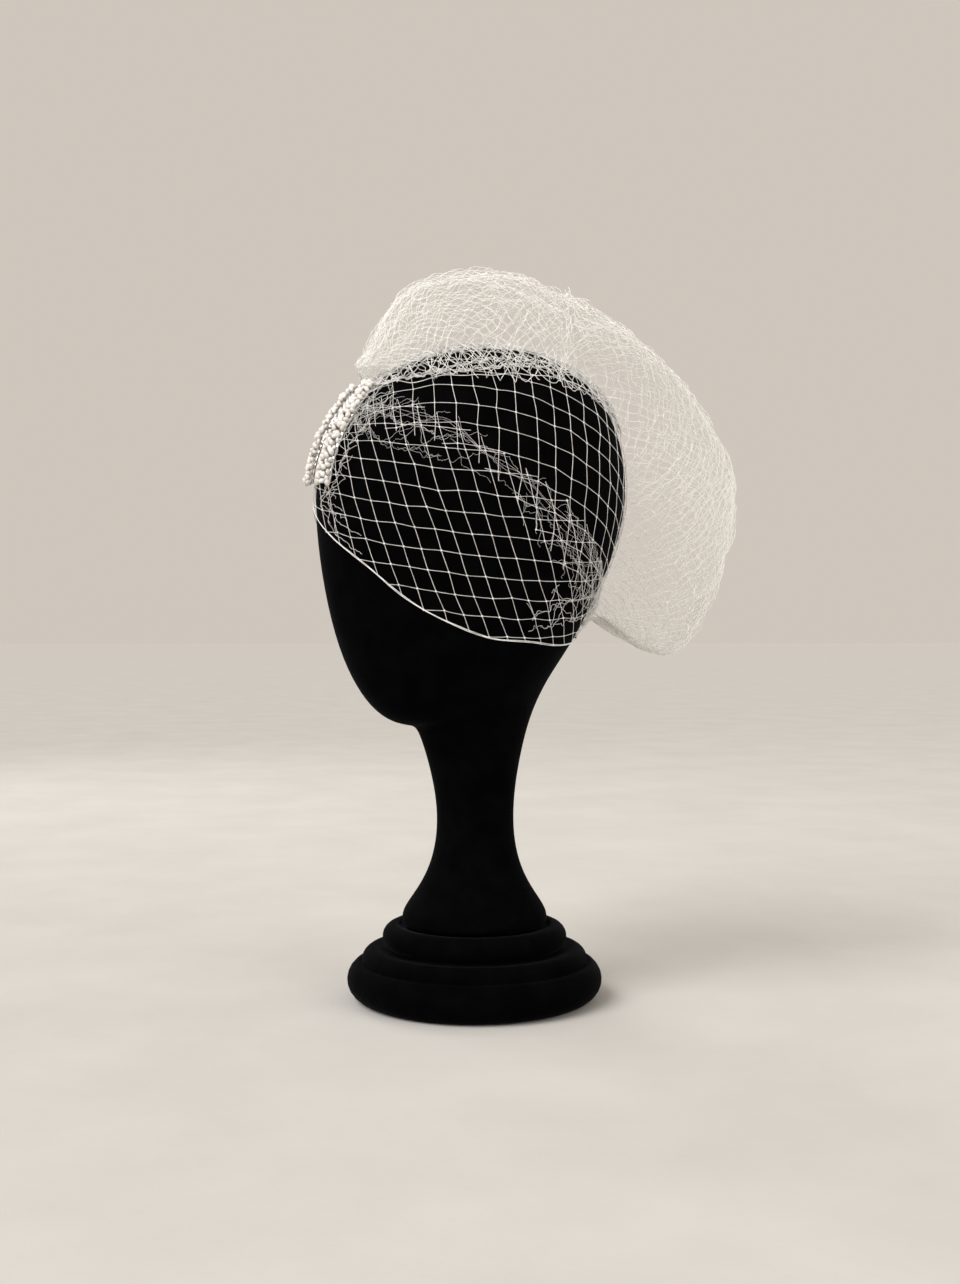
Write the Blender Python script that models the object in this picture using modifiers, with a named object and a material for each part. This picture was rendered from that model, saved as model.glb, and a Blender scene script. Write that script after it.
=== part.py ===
"""Birdcage veil of diamond netting with a pearl comb, resting on a velvet display head.

Metres, +Z up. The head faces -Y and its left side is +X. The origin is the centre of the foot's
underside. The veil's walls lie on the head form, and the pouf stands off it in two arched loops.
"""

import math
from collections import namedtuple

import bmesh
import bpy
from mathutils import Vector
from mathutils.bvhtree import BVHTree

MM = 0.001

# The foot and the head form, in millimetres
SEAT_GAP = 0.3
NECK_FOOT_RADIUS = 44.6
NECK_FOOT_Z = 42.6
FOOT_SEAT_RADIUS = 45.2
HEAD_CENTRE = Vector((0.0, 0.0, 290.0))

# The veil, in millimetres
SEAM_GAP = 0.7
WALL = 1.2
NET_LIFT = 1.8
NAPE_SHARE = 0.95
RIDGE_EASE = 1.4
POUF_LIFT = NET_LIFT + WALL + SEAM_GAP
FOLD_HEIGHT = 3.2
FOLD_PLEATS = 4
FOLD_PLEAT_DEPTH = 0.7
POUF_FLUTES = 7
POUF_FLUTE_DEPTH = 2.4
POUF_FLUTE_LEAST = 0.35
POUF_FULL_WIDTH = 130.0
POUF_SHAPE = 0.8
COMB_HALF_WIDTH = 10.0
PEARL_ROW_HEIGHT = 4.4
PEARL_ROW_WIDTH = 8.0
PEARL_ROW_OFFSET = 5.8
PEARL_BEADS = 15
PEARL_WAIST = 0.8

# Smoothness. A grid's numbers are its squares along the veil and across it.
TURN_STEPS = 40
ARC_STEPS = 4
HEAD_SIDES = 18
WELD = 0.00005
LEFT_GRID = (22, 10)
FOLD_GRID = (22, 16)
CROWN_GRID = (24, 11)
RIGHT_GRID = (27, 17)
POUF_FRONT_GRID = (12, 28)
POUF_BACK_GRID = (22, 28)
COMB_GRID = (12, 4)
PEARL_SIDES = 8
PEARL_STEPS_PER_BEAD = 3

Finish = namedtuple("Finish", "colour roughness metallic")
VELVET = Finish((0.004, 0.004, 0.005), 0.95, 0.0)
NET = Finish((0.86, 0.83, 0.77), 0.55, 0.0)
POUF_NET = Finish((0.90, 0.87, 0.80), 0.5, 0.0)
SILVER = Finish((0.75, 0.74, 0.72), 0.3, 1.0)
PEARL = Finish((0.93, 0.90, 0.85), 0.2, 0.0)

Tier = namedtuple("Tier", "radius round_radius centre_z start_deg end_deg")
Ring = namedtuple("Ring", "front_y front_z back_y back_z half_width egg")
Place = namedtuple("Place", "turn rise")
Arch = namedtuple("Arch", "ridge_share crest_y crest_z near_reach far_reach")

# The foot's three rounded steps, from the top down. Each is an arc of its profile.
TIERS = [
    Tier(55.0, 7.6, 36.7, 105.0, -60.0),
    Tier(67.3, 7.4, 23.0, 110.0, -10.0),
    Tier(76.0, 11.7, 11.7, 66.0, -90.0),
]

# The head form from the neck's foot to the crown. Each ring spans from a point of the front
# outline to a point of the back outline, so the rings tilt under the jaw. egg narrows the front.
HEAD_RINGS = [
    Ring(-NECK_FOOT_RADIUS, NECK_FOOT_Z, NECK_FOOT_RADIUS, NECK_FOOT_Z, NECK_FOOT_RADIUS, 0.0),
    Ring(-NECK_FOOT_RADIUS, 50.5, NECK_FOOT_RADIUS, 50.5, NECK_FOOT_RADIUS, 0.0),
    Ring(-41.8, 55.4, 42.0, 55.4, 41.9, 0.00),
    Ring(-34.0, 65.5, 34.6, 65.5, 34.3, 0.00),
    Ring(-27.2, 78.0, 28.0, 78.0, 27.6, 0.00),
    Ring(-23.4, 93.0, 24.4, 93.0, 23.9, 0.00),
    Ring(-22.6, 108.0, 23.6, 108.0, 23.1, 0.00),
    Ring(-24.4, 125.0, 24.6, 125.0, 24.5, 0.00),
    Ring(-29.4, 144.0, 28.4, 146.0, 28.0, 0.00),
    Ring(-34.0, 157.0, 34.0, 168.0, 32.5, 0.00),
    Ring(-37.5, 162.8, 41.0, 183.0, 36.5, 0.02),
    Ring(-47.0, 162.6, 46.0, 193.0, 42.0, 0.06),
    Ring(-57.0, 166.4, 51.5, 202.0, 47.5, 0.10),
    Ring(-66.5, 174.0, 58.5, 212.0, 53.0, 0.12),
    Ring(-77.0, 188.0, 66.5, 225.0, 59.5, 0.12),
    Ring(-88.0, 213.0, 77.0, 243.0, 66.5, 0.11),
    Ring(-96.5, 252.0, 89.0, 268.0, 74.0, 0.10),
    Ring(-100.0, 287.0, 95.5, 290.0, 77.0, 0.09),
    Ring(-99.5, 310.0, 96.5, 310.0, 77.0, 0.08),
    Ring(-91.0, 332.0, 93.5, 332.0, 74.0, 0.07),
    Ring(-76.5, 352.0, 84.5, 352.0, 67.0, 0.06),
    Ring(-58.5, 368.0, 70.5, 368.0, 55.5, 0.05),
    Ring(-37.5, 380.0, 51.0, 380.0, 39.5, 0.03),
    Ring(-14.0, 386.5, 29.0, 386.5, 20.0, 0.00),
]

# Lines on the head, from the comb to the nape, in degrees about the head's centre. turn goes
# from the face round the left side, and rise goes up from the level of the centre.
LEFT_EDGE = [
    Place(-8.7, 1.0),
    Place(7.0, -10.0),
    Place(22.0, -21.0),
    Place(38.0, -35.0),
    Place(54.0, -44.0),
    Place(73.0, -50.0),
    Place(103.0, -52.5),
    Place(147.0, -51.5),
    Place(174.0, -50.5),
]
RIGHT_EDGE = [
    Place(-9.3, 1.0),
    Place(-28.0, -12.0),
    Place(-52.0, -33.0),
    Place(-78.0, -48.0),
    Place(-108.0, -52.5),
    Place(-148.0, -51.5),
    Place(-184.0, -50.5),
]
FOLD_LINE = [
    Place(12.0, 34.5),
    Place(21.0, 33.0),
    Place(34.0, 31.0),
    Place(51.0, 27.0),
    Place(67.5, 20.0),
    Place(84.5, 7.0),
    Place(97.0, -3.0),
    Place(110.0, -15.0),
    Place(127.0, -27.0),
    Place(146.0, -36.0),
    Place(161.0, -40.5),
]
FOLD_HALF_WIDTHS = [6.0, 8.5, 9.0, 7.0, 6.0, 8.0, 12.0, 14.0, 12.0, 8.0, 6.0]
RIDGE_LINE = [
    Place(-6.0, 50.0),
    Place(-6.0, 72.0),
    Place(175.0, 84.0),
    Place(175.0, 62.0),
    Place(175.0, 40.0),
    Place(175.0, 18.0),
    Place(175.0, -5.0),
    Place(175.0, -28.0),
    Place(175.0, -48.0),
]
COMB_LINE = [
    Place(2.0, 7.0),
    Place(2.5, 17.0),
    Place(2.5, 27.0),
    Place(2.0, 36.0),
    Place(1.0, 44.0),
]

# The pouf's arches. ridge_share is the place on the ridge line, crest the arch's highest point,
# and the reaches are its widths at its feet to the left and right of the ridge.
FRONT_ARCHES = [
    Arch(0.000, -72.0, 372.0, 16.0, 14.0),
    Arch(0.022, -67.0, 380.0, 39.0, 33.5),
    Arch(0.050, -61.0, 392.5, 56.5, 49.0),
    Arch(0.089, -53.0, 407.0, 67.0, 58.0),
    Arch(0.134, -39.5, 421.5, 75.0, 65.0),
    Arch(0.193, -14.0, 429.5, 81.0, 70.0),
    Arch(0.236, 5.0, 432.5, 83.0, 72.0),
    Arch(0.278, 24.5, 431.0, 82.0, 71.0),
    Arch(0.317, 41.0, 424.5, 79.0, 69.0),
    Arch(0.345, 50.5, 419.0, 76.0, 67.0),
]
BACK_ARCHES = [
    Arch(0.333, 48.0, 426.5, 85.0, 76.5),
    Arch(0.359, 58.0, 421.0, 80.5, 73.0),
    Arch(0.420, 85.5, 410.5, 67.0, 64.0),
    Arch(0.480, 113.0, 398.0, 53.0, 53.0),
    Arch(0.551, 142.0, 375.5, 39.5, 42.0),
    Arch(0.610, 163.5, 352.5, 33.5, 36.0),
    Arch(0.660, 177.5, 329.5, 31.0, 33.0),
    Arch(0.699, 182.0, 307.5, 30.0, 31.5),
    Arch(0.750, 179.5, 279.5, 28.5, 30.0),
    Arch(0.797, 171.0, 254.0, 26.5, 28.0),
    Arch(0.843, 160.0, 232.0, 24.0, 25.0),
    Arch(0.882, 147.5, 213.5, 20.5, 21.5),
    Arch(0.910, 131.5, 204.5, 17.0, 18.0),
    Arch(0.926, 114.0, 207.5, 13.5, 14.5),
    Arch(0.936, 97.0, 217.0, 10.5, 11.0),
    Arch(0.943, 86.0, 227.0, 8.0, 8.0),
]


def clear_scene():
    """Remove every object of the opened file."""
    for item in list(bpy.data.objects):
        bpy.data.objects.remove(item, do_unlink=True)


def make_collection(name):
    """Return a new collection, linked to the scene."""
    collection = bpy.data.collections.new(name)
    bpy.context.scene.collection.children.link(collection)
    return collection


def make_material(name, finish):
    """Return a Principled material with a finish."""
    material = bpy.data.materials.new(name)
    material.use_nodes = True
    shader = material.node_tree.nodes["Principled BSDF"]
    shader.inputs["Base Color"].default_value = (*finish.colour, 1.0)
    shader.inputs["Roughness"].default_value = finish.roughness
    shader.inputs["Metallic"].default_value = finish.metallic
    return material


def add_object(name, mesh, finish, collection):
    """Link a mesh under a name, with a material of its own and smooth shading."""
    item = bpy.data.objects.new(name, mesh)
    mesh.materials.append(make_material(name, finish))
    mesh.shade_smooth()
    collection.objects.link(item)
    return item


def mesh_from_bmesh(name, bm):
    """Turn a bmesh into a mesh, and free the bmesh."""
    mesh = bpy.data.meshes.new(name)
    bm.to_mesh(mesh)
    bm.free()
    return mesh


def curve_at(points, share):
    """Return the vector at a share from 0 to 1 of a smooth curve through vectors."""
    place = min(max(share, 0.0), 1.0) * (len(points) - 1)
    index = min(int(place), len(points) - 2)
    step = place - index
    before = points[max(index - 1, 0)]
    start = points[index]
    end = points[index + 1]
    after = points[min(index + 2, len(points) - 1)]
    first = start * 2
    second = (end - before) * step
    third = (before * 2 - start * 5 + end * 4 - after) * step**2
    fourth = (start * 3 - before - end * 3 + after) * step**3
    return (first + second + third + fourth) / 2


def direction_to(place):
    """Return the unit vector from the head's centre to a place on the head."""
    turn = math.radians(place.turn)
    rise = math.radians(place.rise)
    level = math.cos(rise)
    return Vector((math.sin(turn) * level, -math.cos(turn) * level, math.sin(rise)))


class HeadSurface:
    """The head form's outside, found along rays from the head's centre."""

    def __init__(self, head):
        depsgraph = bpy.context.evaluated_depsgraph_get()
        self.tree = BVHTree.FromObject(head, depsgraph)

    def at(self, direction, lift):
        """Return the point in millimetres that lies lift above the head along a direction."""
        aim = direction.normalized()
        hit, normal, _, _ = self.tree.ray_cast(HEAD_CENTRE * MM, aim)
        return hit / MM + aim * (lift / aim.dot(normal))


class HeadLine:
    """A line on the head from the comb to the nape, which can be read beside itself."""

    def __init__(self, head, places):
        self.head = head
        self.directions = [direction_to(place) for place in places]

    def direction(self, share):
        """Return the direction of the line at a share of its length."""
        return curve_at(self.directions, share).normalized()

    def sideways(self, share):
        """Return the unit vector across the line, towards the head's left where it runs back."""
        step = 0.01
        ahead = self.direction(min(share + step, 1.0)) - self.direction(max(share - step, 0.0))
        return ahead.cross(self.direction(share)).normalized()

    def beside(self, share, offset):
        """Return the direction of a point offset millimetres to the line's side."""
        aim = self.direction(share)
        reach = (self.head.at(aim, 0.0) - HEAD_CENTRE).length
        return (aim + self.sideways(share) * (offset / reach)).normalized()


def add_wall(name, grid, place, finish, collection):
    """Shape a flat grid with a function of its two shares, and give it a wall's thickness."""
    bm = bmesh.new()
    bmesh.ops.create_grid(bm, x_segments=grid[0], y_segments=grid[1], size=0.5)
    for vert in bm.verts:
        vert.co = place(vert.co.x + 0.5, vert.co.y + 0.5) * MM
    bm.normal_update()
    centre = HEAD_CENTRE * MM
    outwardness = sum(face.normal.dot(face.calc_center_median() - centre) for face in bm.faces)
    if outwardness < 0:
        bmesh.ops.reverse_faces(bm, faces=bm.faces)
    item = add_object(name, mesh_from_bmesh(name, bm), finish, collection)
    wall = item.modifiers.new("wall", "SOLIDIFY")
    wall.thickness = WALL * MM
    wall.offset = 1.0


def ring_points(ring, sides):
    """Return one ring of the head form, from its front point round the left side."""
    front = Vector((0.0, ring.front_y, ring.front_z))
    back = Vector((0.0, ring.back_y, ring.back_z))
    centre = (front + back) / 2
    reach = (front - back) / 2
    points = []
    for side in range(sides):
        turn = 2 * math.pi * side / sides
        width = ring.half_width * (1 - ring.egg * math.cos(turn)) * math.sin(turn)
        points.append((centre + reach * math.cos(turn) + Vector((width, 0.0, 0.0))) * MM)
    return points


def loft_mesh(name, rings):
    """Skin rings of equal length into one closed body, with a sharp rim at the first ring."""
    bm = bmesh.new()
    crease = bm.edges.layers.float.new("crease_edge")
    rows = [[bm.verts.new(point) for point in ring] for ring in rings]
    sides = len(rows[0])
    for low, high in zip(rows, rows[1:]):
        for side in range(sides):
            after = (side + 1) % sides
            bm.faces.new((low[side], low[after], high[after], high[side]))
    flat_end = bm.faces.new(rows[0][::-1])
    for edge in flat_end.edges:
        edge[crease] = 1.0
    bm.faces.new(rows[-1])
    bmesh.ops.recalc_face_normals(bm, faces=bm.faces)
    return mesh_from_bmesh(name, bm)


def tier_points(tier):
    """Return the arc of one of the foot's steps, as points of the profile (radius, height)."""
    centre_r = tier.radius - tier.round_radius
    points = []
    for step in range(ARC_STEPS + 1):
        turn = math.radians(tier.start_deg + (tier.end_deg - tier.start_deg) * step / ARC_STEPS)
        height = tier.centre_z + tier.round_radius * math.sin(turn)
        points.append((centre_r + tier.round_radius * math.cos(turn), height))
    return points


def foot_profile():
    """Return the foot's half profile (radius, height), down its outer side to the floor."""
    seat_z = NECK_FOOT_Z - SEAT_GAP
    profile = [(0.0, seat_z), (FOOT_SEAT_RADIUS, seat_z)]
    for tier in TIERS:
        profile += tier_points(tier)
    profile += [(0.0, 0.0)]
    return profile


def build_foot(collection):
    """Turn the stepped foot's half profile round the Z axis."""
    mesh = bpy.data.meshes.new("stand_base")
    points = [(radius * MM, 0.0, height * MM) for radius, height in foot_profile()]
    mesh.from_pydata(points, [(i, i + 1) for i in range(len(points) - 1)], [])
    foot = add_object("stand_base", mesh, VELVET, collection)
    screw = foot.modifiers.new("turn", "SCREW")
    screw.angle = 2 * math.pi
    screw.steps = TURN_STEPS
    screw.render_steps = TURN_STEPS
    screw.use_merge_vertices = True
    screw.merge_threshold = WELD


def build_head(collection):
    """Build the head and neck as one smoothed loft."""
    rings = [ring_points(ring, HEAD_SIDES) for ring in HEAD_RINGS]
    head = add_object("head_form", loft_mesh("head_form", rings), VELVET, collection)
    smooth = head.modifiers.new("smooth", "SUBSURF")
    smooth.levels = 1
    smooth.render_levels = 1
    return head


def ridge_under(share):
    """Return the ridge line's share that lies above a share of the fold or of an edge."""
    return NAPE_SHARE * share**RIDGE_EASE


def fold_half_width(share):
    """Return the gathered fold's half width at a share of its length."""
    widths = [Vector((width, 0.0, 0.0)) for width in FOLD_HALF_WIDTHS]
    return curve_at(widths, share).x


def build_left(head, fold, collection):
    """Build the net on the left side, from the corded edge up to the fold."""
    edge = HeadLine(head, LEFT_EDGE)

    def place(along, up):
        top = fold.beside(along, fold_half_width(along) + SEAM_GAP)
        return head.at(edge.direction(along).slerp(top, up), NET_LIFT)

    add_wall("veil_left", LEFT_GRID, place, NET, collection)


def build_fold(head, fold, collection):
    """Build the gathered roll of net that crosses the left side."""

    def place(along, across):
        side = 2 * across - 1
        mound = 0.5 + 0.5 * math.cos(math.pi * side)
        pleat = 0.5 - 0.5 * math.cos(2 * math.pi * FOLD_PLEATS * across)
        lift = NET_LIFT + (FOLD_HEIGHT - FOLD_PLEAT_DEPTH * pleat) * mound
        return head.at(fold.beside(along, -side * fold_half_width(along)), lift)

    add_wall("veil_fold", FOLD_GRID, place, NET, collection)


def build_crown(head, fold, ridge, collection):
    """Build the net over the crown and the back, from the fold to the ridge under the pouf."""

    def place(along, up):
        low = fold.beside(along, -fold_half_width(along) - SEAM_GAP)
        high = ridge.beside(ridge_under(along), SEAM_GAP)
        return head.at(low.slerp(high, up), NET_LIFT)

    add_wall("veil_crown", CROWN_GRID, place, NET, collection)


def build_right(head, ridge, collection):
    """Build the net on the right side, from the ridge down to its corded edge."""
    edge = HeadLine(head, RIGHT_EDGE)

    def place(along, down):
        high = ridge.beside(ridge_under(along), -SEAM_GAP)
        return head.at(high.slerp(edge.direction(along), down), NET_LIFT)

    add_wall("veil_right", RIGHT_GRID, place, NET, collection)


class Pouf:
    """One loop of the pouf: arches of net that stand on the head on both sides of the ridge."""

    def __init__(self, head, ridge, arches):
        self.head = head
        self.ridge = ridge
        self.places = [Vector((arch.ridge_share, arch.crest_y, arch.crest_z)) for arch in arches]
        self.reaches = [Vector((arch.near_reach, arch.far_reach, 0.0)) for arch in arches]

    def point(self, along, across):
        """Return the point at a share along the loop, and at a share over its arch."""
        share, crest_y, crest_z = curve_at(self.places, along)
        near_reach, far_reach, _ = curve_at(self.reaches, along)
        near = self.head.at(self.ridge.beside(share, near_reach), POUF_LIFT)
        far = self.head.at(self.ridge.beside(share, -far_reach), POUF_LIFT)
        middle = (near + far) / 2
        crest = Vector((middle.x, crest_y, crest_z))
        turn = math.pi * across
        height = math.sin(turn) ** POUF_SHAPE
        gather = 1 - (1 - POUF_FLUTE_LEAST) * math.sin(math.pi * along) ** 2
        depth = POUF_FLUTE_DEPTH * (near_reach + far_reach) / POUF_FULL_WIDTH
        flute = math.sin(2 * math.pi * POUF_FLUTES * across) * math.sin(turn) * depth
        arch = middle + (near - middle) * math.cos(turn) + (crest - middle) * height
        return arch + (crest - middle).normalized() * flute * gather


def build_comb(head, comb, collection):
    """Build the comb's flat bar on the head."""

    def place(along, across):
        return head.at(comb.beside(along, (2 * across - 1) * -COMB_HALF_WIDTH), POUF_LIFT)

    add_wall("comb_bar", COMB_GRID, place, SILVER, collection)


def build_pearl_row(name, head, comb, offset, collection):
    """Build one row of pearls as a beaded roll on the comb's bar."""
    steps = PEARL_BEADS * PEARL_STEPS_PER_BEAD
    lift = POUF_LIFT + WALL + SEAT_GAP + PEARL_ROW_HEIGHT / 2
    rings = []
    for step in range(steps + 1):
        share = step / steps
        aim = comb.beside(share, offset)
        centre = head.at(aim, lift)
        side = comb.sideways(share)
        bead = abs(math.sin(math.pi * PEARL_BEADS * share))
        swell = (PEARL_WAIST + (1 - PEARL_WAIST) * bead) / 2
        ring = []
        for corner in range(PEARL_SIDES):
            turn = 2 * math.pi * corner / PEARL_SIDES
            up = aim * math.cos(turn) * PEARL_ROW_HEIGHT
            across = side * math.sin(turn) * PEARL_ROW_WIDTH
            ring.append((centre + (up + across) * swell) * MM)
        rings.append(ring)
    add_object(name, loft_mesh(name, rings), PEARL, collection)


def main():
    """Build every piece in its collection."""
    clear_scene()
    collection = make_collection("birdcage_veil_on_display_head")
    build_foot(collection)
    head = HeadSurface(build_head(collection))
    fold = HeadLine(head, FOLD_LINE)
    ridge = HeadLine(head, RIDGE_LINE)
    comb = HeadLine(head, COMB_LINE)
    build_left(head, fold, collection)
    build_fold(head, fold, collection)
    build_crown(head, fold, ridge, collection)
    build_right(head, ridge, collection)
    front_loop = Pouf(head, ridge, FRONT_ARCHES)
    back_loop = Pouf(head, ridge, BACK_ARCHES)
    add_wall("pouf_front", POUF_FRONT_GRID, front_loop.point, POUF_NET, collection)
    add_wall("pouf_back", POUF_BACK_GRID, back_loop.point, POUF_NET, collection)
    build_comb(head, comb, collection)
    build_pearl_row("pearls_inner", head, comb, PEARL_ROW_OFFSET, collection)
    build_pearl_row("pearls_outer", head, comb, -PEARL_ROW_OFFSET, collection)


main()
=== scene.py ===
"""Dresses the birdcage veil, its pouf and pearl comb, and the velvet head that they rest on.

+Z is up. The head faces -Y, and its left side, which the camera sees, is +X. The sizes of the head
and of all that it wears are in millimetres, and MM turns them into metres where a mesh is made.
The studio's are in metres. A share is a place along or across a form, from 0 to 1.
"""

import logging
import math
import random
from dataclasses import dataclass, field, replace
from enum import Enum
from typing import Callable, Optional

import bmesh
import bpy
from mathutils import Matrix, Vector, noise
from mathutils.bvhtree import BVHTree


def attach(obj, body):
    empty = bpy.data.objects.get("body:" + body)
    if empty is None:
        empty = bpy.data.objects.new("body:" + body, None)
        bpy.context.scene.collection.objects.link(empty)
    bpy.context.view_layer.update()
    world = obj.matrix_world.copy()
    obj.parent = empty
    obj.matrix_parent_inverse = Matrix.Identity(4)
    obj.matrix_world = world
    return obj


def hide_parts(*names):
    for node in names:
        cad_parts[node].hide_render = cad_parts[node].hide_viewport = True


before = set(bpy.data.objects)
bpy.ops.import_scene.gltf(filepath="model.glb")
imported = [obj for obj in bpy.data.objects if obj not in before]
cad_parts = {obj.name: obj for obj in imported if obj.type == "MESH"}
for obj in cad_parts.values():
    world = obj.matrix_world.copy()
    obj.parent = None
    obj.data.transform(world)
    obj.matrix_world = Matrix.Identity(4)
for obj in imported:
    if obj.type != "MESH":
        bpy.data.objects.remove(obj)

logging.basicConfig(level=logging.INFO, format="%(message)s")
log = logging.getLogger("veil")

Triple = tuple[float, float, float]
Numbers = tuple[float, ...]

MM = 0.001
TRIM_SLACK = 0.00001
BODY = "root"
NOISE_SEED = 5
UP = Vector((0.0, 0.0, 1.0))
HEAD_CENTRE = Vector((0.0, 0.0, 290.0))
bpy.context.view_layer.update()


@dataclass(frozen=True)
class Place:
    """A place on the head: turn from the face round the left side, and rise, in degrees."""

    turn: float
    rise: float

    def direction(self) -> Vector:
        """Find the way to the place.

        Returns:
            The unit vector to it from the head's centre.
        """
        turn, rise = math.radians(self.turn), math.radians(self.rise)
        level = math.cos(rise)
        return Vector((math.sin(turn) * level, -math.cos(turn) * level, math.sin(rise)))


@dataclass(frozen=True)
class Arch:
    """One arch of the pouf, over the ridge line from its left foot to its right foot."""

    ridge_share: float
    crest_y: float
    crest_z: float
    left_reach: float
    right_reach: float


class Held(Enum):
    """How a stretch of net is held."""

    STRETCHED = "stretched"
    GATHERED = "gathered"


def line_of(*places: tuple[float, float]) -> tuple[Place, ...]:
    """Return a line on the head from the turns and rises of its places."""
    return tuple(Place(*place) for place in places)


def mirrored(line: tuple[Place, ...]) -> tuple[Place, ...]:
    """Return the same line on the head's other side."""
    return tuple(Place(-place.turn, place.rise) for place in line)


def arches_of(*arches: tuple[float, float, float, float, float]) -> tuple[Arch, ...]:
    """Return the arches of a loop from their numbers."""
    return tuple(Arch(*arch) for arch in arches)


LEFT_EDGE = line_of(
    (-8.7, 1.0), (7.0, -10.0), (22.0, -21.0), (38.0, -35.0), (54.0, -44.0),
    (73.0, -50.0), (103.0, -52.5), (147.0, -51.5), (174.0, -50.5),
)  # fmt: skip
RIGHT_EDGE = line_of(
    (-9.3, 1.0), (-28.0, -12.0), (-52.0, -33.0), (-78.0, -48.0),
    (-108.0, -52.5), (-148.0, -51.5), (-184.0, -50.5),
)  # fmt: skip
FOLD_LINE = line_of(
    (12.0, 34.5), (21.0, 33.0), (34.0, 31.0), (51.0, 27.0), (67.5, 20.0), (84.5, 7.0),
    (97.0, -3.0), (110.0, -15.0), (127.0, -27.0), (146.0, -36.0), (161.0, -40.5),
)  # fmt: skip
RIDGE_LINE = line_of(
    (-6.0, 50.0), (-6.0, 72.0), (175.0, 84.0), (175.0, 62.0), (175.0, 40.0),
    (175.0, 18.0), (175.0, -5.0), (175.0, -28.0), (175.0, -48.0),
)  # fmt: skip
NAPE_LINE = line_of(
    (90.0, -47.0), (104.0, -44.0), (121.0, -38.0), (141.0, -37.0),
    (158.0, -41.0), (172.0, -43.0), (184.0, -41.0),
)  # fmt: skip
COMB_LINE = line_of((2.0, 7.0), (2.5, 17.0), (2.5, 27.0), (2.0, 36.0), (1.0, 44.0))
RIM_LINE = line_of(
    (0.0, 36.0), (9.0, 41.5), (26.2, 44.6), (47.1, 47.4), (68.3, 49.5),
    (90.9, 49.8), (115.3, 47.4), (134.4, 41.6), (148.0, 35.0), (160.0, 28.0),
)  # fmt: skip
CREST_LINE = line_of(
    (14.0, 33.5), (30.0, 32.0), (50.6, 29.0), (65.2, 20.5), (80.4, 12.3),
    (89.4, 5.2), (107.8, -10.4), (131.2, -25.0), (152.0, -37.0),
)  # fmt: skip
FRONT_ARCHES = arches_of(
    (0.000, -72.0, 372.0, 16.0, 14.0),
    (0.022, -67.0, 380.0, 39.0, 33.5),
    (0.050, -61.0, 392.5, 56.5, 49.0),
    (0.089, -53.0, 407.0, 67.0, 58.0),
    (0.134, -39.5, 421.5, 75.0, 65.0),
    (0.193, -14.0, 429.5, 81.0, 70.0),
    (0.236, 5.0, 432.5, 83.0, 72.0),
    (0.278, 24.5, 431.0, 82.0, 71.0),
    (0.317, 41.0, 424.5, 79.0, 69.0),
    (0.345, 50.5, 419.0, 76.0, 67.0),
)
BACK_ARCHES = arches_of(
    (0.333, 48.0, 426.5, 78.0, 76.5),
    (0.359, 58.0, 421.0, 70.0, 73.0),
    (0.420, 85.5, 410.5, 52.0, 64.0),
    (0.480, 113.0, 398.0, 40.0, 53.0),
    (0.551, 142.0, 375.5, 31.0, 42.0),
    (0.610, 163.5, 352.5, 26.0, 36.0),
    (0.660, 177.5, 329.5, 24.5, 33.0),
    (0.699, 182.0, 307.5, 24.0, 31.5),
    (0.750, 179.5, 279.5, 24.0, 30.0),
    (0.797, 171.0, 254.0, 23.0, 28.0),
    (0.843, 160.0, 232.0, 21.5, 25.0),
    (0.882, 147.5, 213.5, 20.5, 21.5),
    (0.910, 131.5, 204.5, 17.0, 18.0),
    (0.926, 114.0, 207.5, 13.5, 14.5),
    (0.936, 97.0, 217.0, 10.5, 11.0),
    (0.943, 86.0, 227.0, 8.0, 8.0),
)


def clamp(share: float) -> float:
    """Return a share kept from 0 to 1."""
    return min(max(share, 0.0), 1.0)


def curve_at(points: list[Vector], share: float) -> Vector:
    """Read a smooth curve through vectors.

    Args:
        points: The vectors that the curve passes through.
        share: The place along it.

    Returns:
        The vector at that place.
    """
    place = clamp(share) * (len(points) - 1)
    index = min(int(place), len(points) - 2)
    step = place - index
    before = points[max(index - 1, 0)]
    start = points[index]
    end = points[index + 1]
    after = points[min(index + 2, len(points) - 1)]
    first = start * 2
    second = (end - before) * step
    third = (before * 2 - start * 5 + end * 4 - after) * step**2
    fourth = (start * 3 - before - end * 3 + after) * step**3
    return (first + second + third + fourth) / 2


def number_at(values: Numbers, share: float) -> float:
    """Return the number at a share of a smooth curve through numbers."""
    return curve_at([Vector((value, 0.0, 0.0)) for value in values], share).x


@dataclass(frozen=True)
class Wander:
    """A smooth uneven shift: the distance over which it changes, its reach, and its seeds' slant."""

    size: float
    reach: float
    slant: float = 1.7

    def at(self, point: Vector, seed: float) -> Vector:
        """Return the shift at a point, in the pattern that a seed gives."""
        start = Vector((seed, seed * self.slant, -seed))
        return noise.noise_vector(point / self.size + start) * self.reach


class NodeGraph:
    """A node tree, with short ways to add and join its nodes."""

    def __init__(self, tree: bpy.types.NodeTree) -> None:
        """Keep the tree."""
        self.tree = tree

    def add(self, kind: str, **values: float) -> bpy.types.Node:
        """Add a node.

        Args:
            kind: The node's type.
            values: Its inputs' values, by their names.

        Returns:
            The new node.
        """
        node = self.tree.nodes.new(kind)
        for name, value in values.items():
            node.inputs[name].default_value = value
        return node

    def join(self, output: bpy.types.NodeSocket, target: bpy.types.NodeSocket) -> None:
        """Link an output to an input."""
        self.tree.links.new(output, target)


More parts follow.
